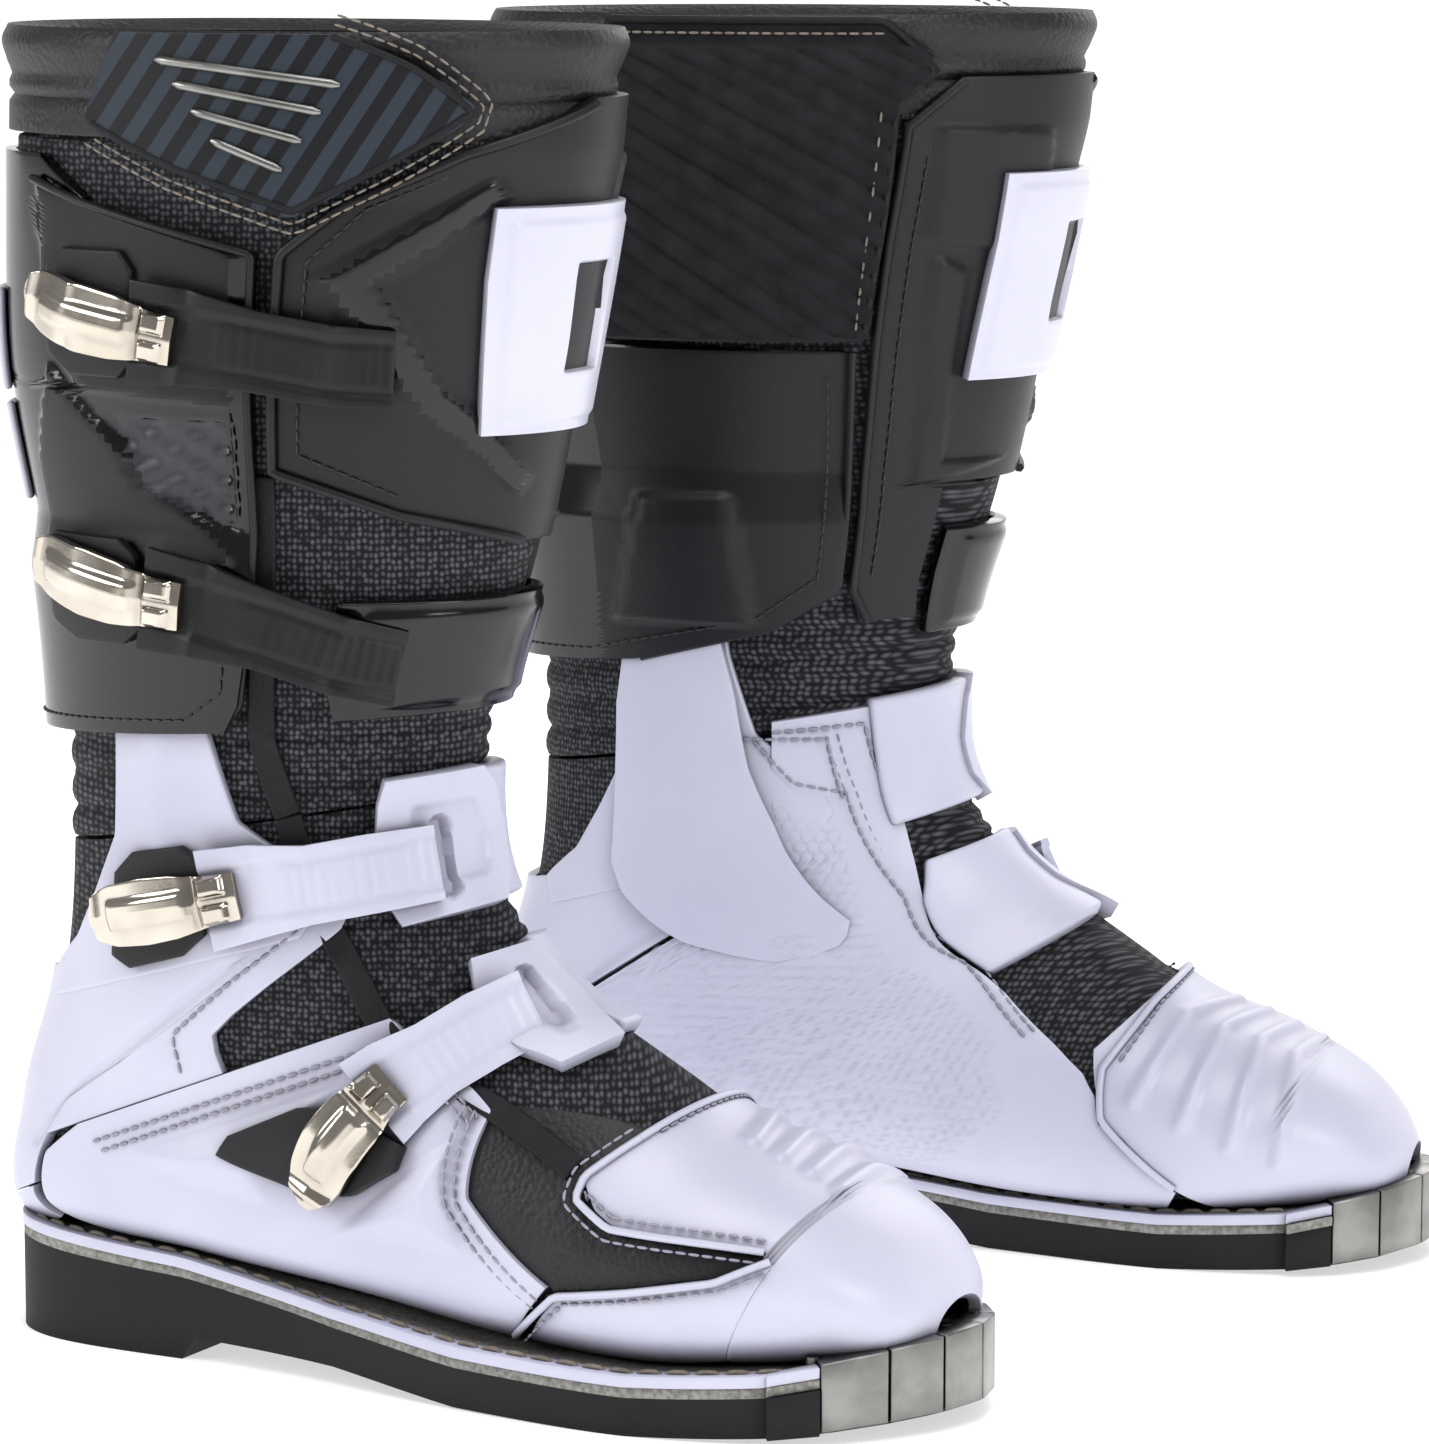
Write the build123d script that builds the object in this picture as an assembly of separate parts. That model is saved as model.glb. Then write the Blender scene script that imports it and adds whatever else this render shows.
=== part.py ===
from build123d import *
import math
import os

# A pair of motocross boots, in millimetres. Each boot is drawn in its own frame: heel at x = 0, toe
# along +X, ground at z = 0 and its outer (buckle) side at -Y. The left boot is the right one mirrored.
# The pair's frame: +X forward, +Z up, origin on the ground under the middle of the pair.
SPLAY = 6.6                      # each boot's toe turned out from straight ahead, degrees
STANCE = 169.0                   # between the two heels, across
STEP_AHEAD = 60.0                # the left boot stands this far ahead
PAIR_CENTRE = (162.77, 84.5)     # middle of the pair measured from the right heel, ahead and across

SHELL = 3.0                      # moulded shell thickness
LINER = 3.0                      # soft liner thickness
STRAP_WIDTH = 20.0
STRAP_THICK = 2.6
WELT_THICK = 5.3                 # board and rim under the upper
WIDEST = 90.0                    # anything wider than the boot, for the side-profile prisms

# The boot's form as a fan of cross-sections from the collar down round the heel and out to the toe.
# Front or top point (x, z), back or under point (x, z), half width, shift to the inner side,
# fullness of the front half and of the back half (2 is an ellipse).
SECTIONS = [
    (166.5, 343, 3.0, 343, 54, 0, 2.0, 2.0),
    (162.5, 305, 2.0, 305, 54, 0, 2.0, 2.0),
    (153.5, 257, 2.0, 257, 51, 0, 2.0, 2.0),
    (144.0, 212, 10.0, 212, 45, 0, 2.0, 2.0),
    (133.0, 176, 14.0, 170, 40, 0, 2.0, 2.0),
    (130.0, 150, 14.0, 130, 38, 0, 2.0, 2.0),
    (133.0, 128, 11.0, 95, 38, 0, 2.0, 2.1),
    (144.0, 110, 1.0, 60, 37, 0, 2.1, 2.3),
    (157.0, 98, 3.0, 30, 36, 0, 2.1, 2.6),
    (172.0, 90, 60.0, 24, 37, 0, 2.1, 3.0),
    (187.0, 80, 110.0, 20, 40, 1, 2.1, 3.0),
    (205.0, 67, 160.0, 15, 44, 2, 2.2, 3.0),
    (227.0, 58, 200.0, 13, 44, 3, 2.3, 3.0),
    (248.0, 47, 233.0, 15, 36, 5, 2.3, 2.6),
    (260.0, 36, 256.0, 18, 24, 6, 2.2, 2.4),
    (266.0, 27, 265.0, 21, 8, 7, 2.0, 2.0),
]
# Sole outline seen from above: x, outer side y, inner side y.
SOLE = [
    (0, -8, 8), (4, -20, 20), (14, -28, 28), (35, -33, 33), (70, -34, 31), (105, -37, 29),
    (140, -44, 33), (170, -48, 40), (195, -49, 45), (220, -45, 46), (240, -37, 43), (255, -25, 37),
    (265, -10, 28), (270, 4, 14),
]
# Side profile of the sole: x, underside z, top of the welt z. The heel block steps down at x = 62.
SOLE_SIDE = [
    (-5, 0, 31), (62, 0, 27), (66, 6, 26.5), (110, 4.5, 20), (150, 0.5, 16), (200, 0, 15),
    (235, 1.5, 17), (280, 5.6, 25.4),
]

WELT_TOP = [(x, z) for x, _, z in SOLE_SIDE]
# The folded toe plate's flats seen from above, closed behind inside the sole.
TOE_WRAP = [
    (236, -41.5), (247.5, -35), (260, -21.5), (268.5, -8), (272.4, 6), (269.5, 19), (260, 34),
    (248, 43), (236, 47.5),
]
TOE_SCREWS = [(243, -30), (256, -17), (264, 1), (265, 16), (257, 29.5)]


def section(u):
    """The cross-section at u, a smooth curve through the listed ones."""
    i = min(int(u), len(SECTIONS) - 2)
    f = u - i
    p0, p1 = SECTIONS[max(i - 1, 0)], SECTIONS[i]
    p2, p3 = SECTIONS[i + 1], SECTIONS[min(i + 2, len(SECTIONS) - 1)]
    return [
        b + 0.5 * f * (c - a + f * (2 * a - 5 * b + 4 * c - d + f * (3 * (b - c) + d - a)))
        for a, b, c, d in zip(p0, p1, p2, p3)
    ]


def point(u, t, d=0.0):
    """A point of the form: t degrees round from the front (outer side positive), d outward."""
    fx, fz, bx, bz, half, shift, full_front, full_back = section(u)
    cx, cz = (fx + bx) / 2, (fz + bz) / 2
    reach = math.hypot(fx - bx, fz - bz) / 2
    dx, dz = (fx - bx) / (2 * reach), (fz - bz) / (2 * reach)
    c, s = math.cos(math.radians(t)), math.sin(math.radians(t))
    power = full_front if c > 0 else full_back
    r = (abs(c) ** power + abs(s) ** power) ** (-1 / power)
    along = (reach + d) * r * c
    return Vector(cx + along * dx, shift - (half + d) * r * s, cz + along * dz)


def site(u, t, d, heading=0.0):
    """A plane on the form: x along rising t turned by heading degrees, z outward."""
    p = point(u, t, d)
    round_way = (point(u, t + 1, d) - point(u, t - 1, d)).normalized()
    up_way = (point(max(u - 0.05, 0), t, d) - point(u + 0.05, t, d)).normalized()
    out = up_way.cross(round_way).normalized()
    if out.dot(p - point(u, t, d - 5)) < 0:
        out = out * -1
    return Plane(origin=p, x_dir=round_way, z_dir=out).rotated((0, 0, heading))


def ring(u, d):
    return Face(Wire(Spline(*[point(u, t, d) for t in range(0, 360, 15)], periodic=True)))


def fill_in(rows, pitch=0.5):
    """Rows between the given ones, so that nested skins stay parallel and a slanting edge stays on
    the form: at every half section, and wherever an edge would swing more than 8 degrees."""
    out = [rows[0]]
    for row, after in zip(rows, rows[1:]):
        span = after[0] - row[0]
        swing = max([abs(b - a) for a, b in zip(row[1:3], after[1:3])] + [0])
        cuts = {row[0] + span * i / math.ceil(swing / 8) for i in range(1, math.ceil(swing / 8))}
        u = math.floor(row[0] / pitch + 1) * pitch
        while u < after[0] - 0.05:
            if u > row[0] + 0.05 and all(abs(u - c) > 0.03 for c in cuts):
                cuts.add(u)
            u += pitch
        for u in sorted(cuts):
            f = (u - row[0]) / span
            out.append(tuple(a + f * (b - a) for a, b in zip(row, after)))
        out.append(after)
    return out


def body(first, last, d):
    """The filled form between two sections, d outside it."""
    rows = fill_in([(first,), (last,)])
    return loft([ring(u, d) for (u,) in rows], ruled=True)


def tube(first, last, d_in, d_out):
    return body(first, last, d_out) - body(first - 0.001, last + 0.001, d_in)


def panel(rows, d_in=0.6, d_out=0.6 + SHELL):
    """A curved plate: rows are (u, from t, to t) with their own (inner, outer) offsets if given."""
    full = [tuple(row) + (d_in, d_out) if len(row) == 3 else tuple(row) for row in rows]
    steps = max(6, math.ceil(max(row[2] - row[1] for row in full) / 12))
    faces = []
    for u, start, end, low, high in fill_in(full):
        turns = [start + (end - start) * i / steps for i in range(steps + 1)]
        outer = [point(u, t, high) for t in turns]
        inner = [point(u, t, low) for t in reversed(turns)]
        faces.append(Face(Wire([
            Spline(*outer), Line(outer[-1], inner[0]), Spline(*inner), Line(inner[-1], outer[0]),
        ])))
    return loft(faces, ruled=True)


def welt_height(x):
    for (x0, z0), (x1, z1) in zip(WELT_TOP, WELT_TOP[1:]):
        if x0 <= x <= x1:
            return z0 + (z1 - z0) * (x - x0) / (x1 - x0)
    return WELT_TOP[-1][1]


def down_to_welt(u, d_in=0.6, d_out=0.6 + SHELL):
    """How far round, in degrees, a plate may run before it meets the welt."""
    t = 90
    while t < 179:
        if any(p.Z < welt_height(p.X) + 0.8 for p in (point(u, t, d_in), point(u, t, d_out))):
            return t - 1
        t += 1
    return 179


def inner_side(shape_rows):
    return [(u, 360 - end, 360 - start) for u, start, end in shape_rows]


def side_prism(points):
    """A side-view outline carried right across the boot."""
    face = Face(Wire(Polyline(*[(x, -WIDEST, z) for x, z in points], close=True)))
    return extrude(face, amount=2 * WIDEST, dir=(0, 1, 0))


def between(low, high):
    """The slab between two heights over the ground, each a list of (x, z)."""
    return side_prism(low + high[::-1])


def plan(grow=0.0):
    outline = [(x, y) for x, y, _ in SOLE] + [(x, y) for x, _, y in reversed(SOLE)]
    face = Face(Wire(Spline(*[(x, y, 0) for x, y in outline], periodic=True)))
    if grow:
        face = offset(face, amount=grow).face()
    return extrude(face, amount=60, dir=(0, 0, 1))


def ribbon(stops, width, thick):
    """A flat strip through places (u, t, d) on the form, its width across the way it runs."""
    places = [point(*stop) for stop in stops]
    faces = []
    for i, (stop, p) in enumerate(zip(stops, places)):
        ahead = (places[min(i + 1, len(places) - 1)] - places[max(i - 1, 0)]).normalized()
        out = site(*stop).z_dir
        across = out.cross(ahead).normalized()
        frame = Plane(origin=p, x_dir=across, z_dir=ahead)
        w = width[i] if isinstance(width, (list, tuple)) else width
        faces.append((frame * Rectangle(w, thick)).face())
    return loft(faces, ruled=True)


# The four fastenings: path of the strap from its keeper back to the buckle, (u, t, offset) along the
# middle, then the lever's path from its pin to the thumb end. Straps 1 and 2 close the shaft, 3 and 4
# the foot.
STRAPS = {
    1: [(1.93, 48, 7.6), (1.91, 60, 7.9), (1.84, 74, 8.0), (1.78, 87, 8.2), (1.76, 97, 8.6)],
    2: [(3.74, 40, 8.6), (3.62, 55, 10.2), (3.45, 70, 10.6), (3.32, 85, 10.6), (3.26, 97, 10.8)],
    3: [(5.72, 27, 8.4), (5.68, 45, 8.2), (5.66, 60, 7.6), (5.62, 73, 7.8), (5.62, 84, 8.2)],
    4: [(7.95, 24, 8.8), (8.05, 38, 8.6), (8.20, 50, 8.4), (8.33, 60, 8.2), (8.45, 67, 8.2)],
}
LEVERS = {
    1: [(1.75, 100, 9.6), (1.69, 109, 11.4), (1.60, 121, 9.8)],
    2: [(3.25, 100, 11.8), (3.17, 112, 13.4), (3.08, 126, 12.0)],
    3: [(5.62, 87, 9.2), (5.61, 99, 11.0), (5.60, 113, 9.4)],
    4: [(8.50, 70, 9.2), (8.78, 84, 11.0), (9.10, 100, 9.2)],
}
LEVER_WIDTH = (16.0, 17.0, 12.0)


def strap(n, room=0.0):
    """Strap n, wider at its buckle end; with room it is the space its keeper leaves for it."""
    widths = [STRAP_WIDTH + room + more for more in (-1, 0, 0, 4, 6)]
    return ribbon(STRAPS[n], widths, STRAP_THICK + room)


def lever(n):
    return ribbon(LEVERS[n], LEVER_WIDTH, 3.0)


def keeper(n, depth):
    """The loop that holds a strap's fixed end: two rails beside the strap and a bridge ahead of it."""
    first, second = STRAPS[n][0], STRAPS[n][1]
    start, ahead = point(*first), point(*second)
    out = site(*first).z_dir
    way = (ahead - start).normalized()
    frame = Plane(origin=start, x_dir=way, z_dir=out)
    rail = STRAP_WIDTH / 2 + 2.2
    middle = (2.0 - depth) / 2
    parts = Pos(-6.5, 0, middle) * Box(9, 2 * rail + 3, depth + 2)
    for side in (-1, 1):
        parts += Pos(-2.5, side * rail, middle) * Box(11, 3, depth + 2)
    return frame * parts - strap(n, 1.8)


def buckle_base(n, u_first, u_last, t_first, t_last, low, high):
    middle = (t_first + t_last) / 2
    return panel([
        (u_first, middle - 6, t_last - 8, low, high),
        (u_first + 0.08, t_first + 2, t_last - 2, low, high),
        (u_last - 0.08, t_first, t_last, low, high),
        (u_last, t_first + 6, middle + 6, low, high),
    ])


def sole_parts():
    bottom = [(x, z) for x, z, _ in SOLE_SIDE]
    board = [(x, z - WELT_THICK) for x, z in WELT_TOP]
    footprint = plan()
    outline = Face(Wire(Polyline(*[(x, y, 0) for x, y in TOE_WRAP], close=True)))
    ahead = side_prism([(238, -5), (300, -5), (300, 60), (238, 60)])
    tall = {"amount": 60, "dir": (0, 0, 1)}
    inside = extrude(offset(outline, amount=-1.4, kind=Kind.INTERSECTION).face(), **tall)
    core = extrude(offset(outline, amount=-1.8, kind=Kind.INTERSECTION).face(), **tall)
    footprint = footprint - (ahead - core)
    outsole = footprint & between(bottom, board)
    welt = footprint & between(board, WELT_TOP)
    reach = between([(x, z + 0.7) for x, z in bottom], [(x, z + 1.2) for x, z in WELT_TOP])
    toe_plate = (extrude(outline, **tall) - inside) & ahead & reach
    return {
        "outsole": outsole,
        "welt": welt,
        "toe_plate": toe_plate,
        "toe_screws": Compound(screw_posts(1.9, 1.8, 1)),
    }


def screw_posts(radius, height, from_welt):
    """Upright cylinders at the toe plate's screws, standing on the welt or on the ground."""
    return [
        Pos(x, y, from_welt * (0.8 + welt_height(x)))
        * Cylinder(radius, height, align=(Align.CENTER, Align.CENTER, Align.MIN))
        for x, y in TOE_SCREWS
    ]


def foot_parts():
    sole_from = 8.1
    vamp = panel([(5.0, -179.5, 179.5), (7.8, -179.5, 179.5)] + [
        (u, -down_to_welt(u, -LINER, 0), down_to_welt(u, -LINER, 0))
        for u in [sole_from] + [8.5 + i / 2 for i in range(11)]
    ], -LINER, 0)
    bed = body(7.0, 13.4, -LINER - 0.6)
    footbed = bed & between([(x, z + 0.3) for x, z in WELT_TOP], [(x, z + 6) for x, z in WELT_TOP])

    # The heel counter with a strut up each side that stops under the calf shell's lower edge.
    strut = (0.9, 3.5)
    flank = [(4.3, 85, 114), (4.96, 78, 115)]
    outer = panel(flank + [(5.38, 64, 123), (5.73, 60, 131), (5.92, 58, 143)], *strut)
    inner = panel(
        inner_side(flank) + [(5.38, 240, 280), (5.73, 230, 282), (5.92, 217, 283)], *strut)
    cup = panel([
        (5.95, 58, 283), (6.34, 76, 283), (6.8, 100, 260), (7.14, 124, 236), (7.34, 130, 230),
        (7.8, 136, 224),
    ], *strut)
    corner = [(u, t, down_to_welt(u, *strut) - 1) for u, t in ((7.88, 138), (8.1, 139), (8.28, 138))]
    heel_shell = Compound([
        outer, inner, cup, panel(corner, *strut), panel(inner_side(corner), *strut),
    ])

    side_panel = panel([(7.4, 51, 120), (7.55, 50, 130), (8.0, 50, 135)] + [
        (u, t, down_to_welt(u) - 1.5) for u, t in ((8.6, 51), (9.24, 56), (9.97, 84), (11.0, 104))
    ])

    plate = panel([
        (4.85, 286, 314), (5.38, 286, 318), (6.04, 286, 321), (6.4, 286, 320), (6.8, 264, 318),
        (7.14, 240, 316), (7.34, 233, 315), (8.0, 226, 311), (8.57, 361.5 - down_to_welt(8.57), 307),
    ])
    fore = panel(inner_side([
        (u, t, down_to_welt(u) - 1) for u, t in ((8.62, 54), (9.3, 58), (10.2, 66), (10.6, 80), (10.9, 92))
    ]))
    upper_arm = panel([(4.78, -47, 4), (5.5, -45, 5), (6.3, -44, 4)], 0.6, 5.4)
    lower_arm = panel([(6.85, -40, 3), (7.4, -46, 5), (8.3, -50, 5), (8.56, -50, 4)], 0.6, 5.4)
    medial_panel = Compound([plate + upper_arm + lower_arm, fore])

    cap = panel([
        (10.5, -62, 58), (10.85, -78, 66), (11.05, -90, 68), (11.3, -94, 68), (12.0, -118, 60),
        (12.42, -down_to_welt(12.42), 56), (12.55, -down_to_welt(12.55), down_to_welt(12.55)),
    ] + [(u, -down_to_welt(u), down_to_welt(u)) for u in (12.75, 13, 13.25, 13.5, 13.75, 14, 14.25, 14.5, 14.75, 14.9)])
    lip = panel([
        (u, t, down_to_welt(u) - 1.5) for u, t in ((11.1, 106), (11.6, 94), (12.2, 78), (12.38, 70))
    ])
    near_lip = panel(inner_side([
        (u, t, down_to_welt(u) - 1.5) for u, t in ((10.98, 94), (11.3, 97), (11.95, 121))
    ]))
    toe_cap = Compound([cap, lip, near_lip])

    keepers = []
    for n, rows in (
        (3, [(4.75, 6, 40), (5.5, 7, 43), (6.35, 6, 40)]),
        (4, [(6.95, 5, 28), (7.6, 7, 33), (8.4, 8, 36), (9.0, 10, 34)]),
    ):
        keepers.append(panel(rows, 0.6, 5.4) - strap(n, 1.8) + keeper(n, 3.6))
    bases = [
        buckle_base(3, 5.15, 6.05, 86, 112, 3.9, 5.4),
        buckle_base(4, 8.05, 9.35, 72, 100, 4.0, 5.6),
    ]
    return {
        "vamp": vamp,
        "footbed": footbed,
        "heel_shell": heel_shell,
        "side_panel": side_panel,
        "medial_panel": medial_panel,
        "toe_cap": toe_cap,
        "instep_keepers": Compound(keepers),
        "instep_buckle_bases": Compound(bases),
        "ankle_bellows": tube(3.62, 4.97, -LINER, 0),
    }


def shaft_parts():
    collar = tube(0.0, 0.75, -LINER - 1, 2.4)
    lining = tube(0.78, 3.6, -LINER, 0)
    high, low, plate_layer = (0.6, 3.3), (4.6, 7.2), (0.8, 4.0)
    calf_shell = panel([
        (0.86, 128, 236, *high), (1.12, 112, 240, *high), (1.36, 76, 240, *high),
        (2.08, 75, 240, *high), (2.12, 75, 297, *high), (2.86, 75, 298, *high),
        (3.2, 75, 299, *low), (3.7, 76, 300, *low), (4.0, 77, 284, *low), (4.2, 80, 250, *low),
    ])
    shin_plate = panel([
        (0.52, -46, 4, 2.9, 5.2), (0.82, -57, 38, 2.9, 5.2), (1.1, -58, 60, *plate_layer),
        (1.36, -58, 71, *plate_layer), (2.5, -58, 71, *plate_layer), (2.74, -58, 44, *plate_layer),
        (2.93, -58, 6, *plate_layer), (2.97, -58, -36, *plate_layer), (3.7, -56, -36, *plate_layer),
        (3.98, -52, -34, *plate_layer),
    ]) + keeper(1, 5.0)
    band = panel([(3.28, -32, 56), (3.6, -32, 59), (4.15, -30, 54)], 2.0, 5.4) + keeper(2, 4.4)
    plate = panel([(1.12, -34, 31), (1.5, -34, 31), (2.3, -36, 28)], 4.2, 7.4)
    calf_badges = [
        panel([(1.62, 150, 208), (2.18, 152, 206)], 3.6, 6.0),
        panel([(2.25, 152, 206), (2.82, 156, 200)], 3.6, 6.0),
    ]
    flap = panel([
        (0.03, 63, 103), (0.3, 49, 106), (0.58, 36, 109), (0.66, 40, 110), (0.9, 54, 92),
        (1.16, 68, 73),
    ], 5.6, 7.4)
    guard = panel([
        (0.05, 243, 297), (0.48, 241, 308), (0.7, 241, 300), (1.4, 242, 300), (2.04, 244, 300),
    ], 3.8, 5.4)
    bases = [
        buckle_base(1, 1.42, 2.0, 99, 122, 3.7, 5.4),
        buckle_base(2, 2.98, 3.55, 99, 128, 7.4, 8.8),
    ]
    return {
        "shaft_lining": lining,
        "collar": collar,
        "calf_shell": calf_shell,
        "shin_plate": shin_plate,
        "shin_band": band,
        "white_inserts": Compound([plate] + calf_badges),
        "closure_flap": flap,
        "heat_guard": guard,
        "cuff_buckle_bases": Compound(bases),
    }


def one_boot():
    parts = {**sole_parts(), **foot_parts(), **shaft_parts()}
    for room in screw_posts(2.6, 5, 1):
        parts["toe_cap"] -= room
    for n in STRAPS:
        parts[f"strap_{n}"] = strap(n)
        parts[f"buckle_lever_{n}"] = lever(n)
    return parts


def stand(shape, side):
    """A piece of the right boot set in its place in the pair, mirrored for the left boot."""
    ahead, across = PAIR_CENTRE
    if side == "right":
        return Pos(-ahead, -across, 0) * (Rot(0, 0, -SPLAY) * shape)
    shape = mirror(shape, about=Plane.XZ)
    if not all(solid.is_valid for solid in shape.solids()):
        shape = shape.fix()
    return Pos(STEP_AHEAD - ahead, STANCE - across, 0) * (Rot(0, 0, SPLAY) * shape)


os.makedirs("parts", exist_ok=True)
boot = one_boot()
for side in ("right", "left"):
    for name, shape in boot.items():
        export_step(stand(shape, side), f"parts/{side}_{name}.step")
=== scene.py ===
import bmesh
import bpy
import math
import numpy as np
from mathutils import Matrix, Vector


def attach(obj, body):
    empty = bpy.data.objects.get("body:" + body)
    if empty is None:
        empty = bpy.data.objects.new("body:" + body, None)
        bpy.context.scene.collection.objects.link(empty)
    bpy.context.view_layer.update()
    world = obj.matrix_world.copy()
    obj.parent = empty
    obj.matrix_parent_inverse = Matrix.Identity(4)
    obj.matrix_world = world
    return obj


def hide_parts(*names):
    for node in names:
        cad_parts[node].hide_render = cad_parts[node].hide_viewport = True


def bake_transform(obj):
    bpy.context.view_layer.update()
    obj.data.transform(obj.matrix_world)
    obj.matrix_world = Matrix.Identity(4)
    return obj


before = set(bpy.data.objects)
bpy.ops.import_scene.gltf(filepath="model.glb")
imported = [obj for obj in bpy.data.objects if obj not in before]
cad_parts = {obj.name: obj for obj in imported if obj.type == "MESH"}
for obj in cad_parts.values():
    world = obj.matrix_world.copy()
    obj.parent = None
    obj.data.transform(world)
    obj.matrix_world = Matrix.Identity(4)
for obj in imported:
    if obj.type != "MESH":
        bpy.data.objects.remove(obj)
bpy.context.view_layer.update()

# ---- The lasted form ---------------------------------------------------------------------------
# Both boots are pulled over mirrored lasts. The form is a fan of cross-sections from the collar down
# round the heel and out to the toe: front or top point (x, z), back or under point (x, z), half width,
# shift to the inner side, fullness of the front half and of the back half, in millimetres.
SECTIONS = np.array([
    (166.5, 343, 3.0, 343, 54, 0, 2.0, 2.0),
    (162.5, 305, 2.0, 305, 54, 0, 2.0, 2.0),
    (153.5, 257, 2.0, 257, 51, 0, 2.0, 2.0),
    (144.0, 212, 10.0, 212, 45, 0, 2.0, 2.0),
    (133.0, 176, 14.0, 170, 40, 0, 2.0, 2.0),
    (130.0, 150, 14.0, 130, 38, 0, 2.0, 2.0),
    (133.0, 128, 11.0, 95, 38, 0, 2.0, 2.1),
    (144.0, 110, 1.0, 60, 37, 0, 2.1, 2.3),
    (157.0, 98, 3.0, 30, 36, 0, 2.1, 2.6),
    (172.0, 90, 60.0, 24, 37, 0, 2.1, 3.0),
    (187.0, 80, 110.0, 20, 40, 1, 2.1, 3.0),
    (205.0, 67, 160.0, 15, 44, 2, 2.2, 3.0),
    (227.0, 58, 200.0, 13, 44, 3, 2.3, 3.0),
    (248.0, 47, 233.0, 15, 36, 5, 2.3, 2.6),
    (260.0, 36, 256.0, 18, 24, 6, 2.2, 2.4),
    (266.0, 27, 265.0, 21, 8, 7, 2.0, 2.0),
])
# How each boot stands: degrees turned, place of its heel ahead and across, and its handedness.
STAND = {"right": (-6.6, -162.77, -84.5, 1), "left": (6.6, -102.77, 84.5, -1)}


def section(u):
    i = np.clip(np.asarray(u, float).astype(int), 0, len(SECTIONS) - 2)
    f = (u - i)[..., None]
    p0, p1, p2 = SECTIONS[np.maximum(i - 1, 0)], SECTIONS[i], SECTIONS[i + 1]
    p3 = SECTIONS[np.minimum(i + 2, len(SECTIONS) - 1)]
    return p1 + f / 2 * (p2 - p0 + f * (2 * p0 - 5 * p1 + 4 * p2 - p3 + f * (3 * (p1 - p2) + p3 - p0)))


def form(u, t, d=0.0):
    """Places on the form: t degrees round from the front, outer side positive, d outward."""
    fx, fz, bx, bz, half, shift, front, back = np.moveaxis(section(np.asarray(u, float)), -1, 0)
    reach = np.hypot(fx - bx, fz - bz) / 2
    c, s = np.cos(np.radians(t)), np.sin(np.radians(t))
    power = np.where(c > 0, front, back)
    r = (np.abs(c) ** power + np.abs(s) ** power) ** (-1 / power)
    along = (reach + d) * r * c
    return np.stack([
        (fx + bx) / 2 + along * (fx - bx) / (2 * reach),
        shift - (half + d) * r * s,
        (fz + bz) / 2 + along * (fz - bz) / (2 * reach),
    ], -1)


def stand(points, side):
    """From a boot's own frame in millimetres to the pair's frame in metres."""
    turn, ahead, across, hand = STAND[side]
    x, y, z = np.moveaxis(np.asarray(points, float), -1, 0)
    c, s = math.cos(math.radians(turn)), math.sin(math.radians(turn))
    return np.stack([x * c - hand * y * s + ahead, x * s + hand * y * c + across, z], -1) / 1000


# ---- Finishes ----------------------------------------------------------------------------------
# Every finish varies in colour in soft blotches and has a grain pressed or woven into it, because no
# moulded, tanned or woven surface is even. Sizes are real ones in millimetres.
def colour(code):
    rgb = [int(code[i:i + 2], 16) / 255 for i in (1, 3, 5)]
    return [c / 12.92 if c <= 0.04045 else ((c + 0.055) / 1.055) ** 2.4 for c in rgb] + [1.0]


def add(tree, kind, settings=(), links=()):
    """One shader node: settings go to its properties or its sockets, links join its sockets."""
    made = tree.nodes.new("ShaderNode" + kind)
    for key, value in dict(settings).items():
        if hasattr(made, key):
            setattr(made, key, value)
        else:
            made.inputs[key].default_value = value
    for key, source in dict(links).items():
        tree.links.new(source, made.inputs[key])
    return made


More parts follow.
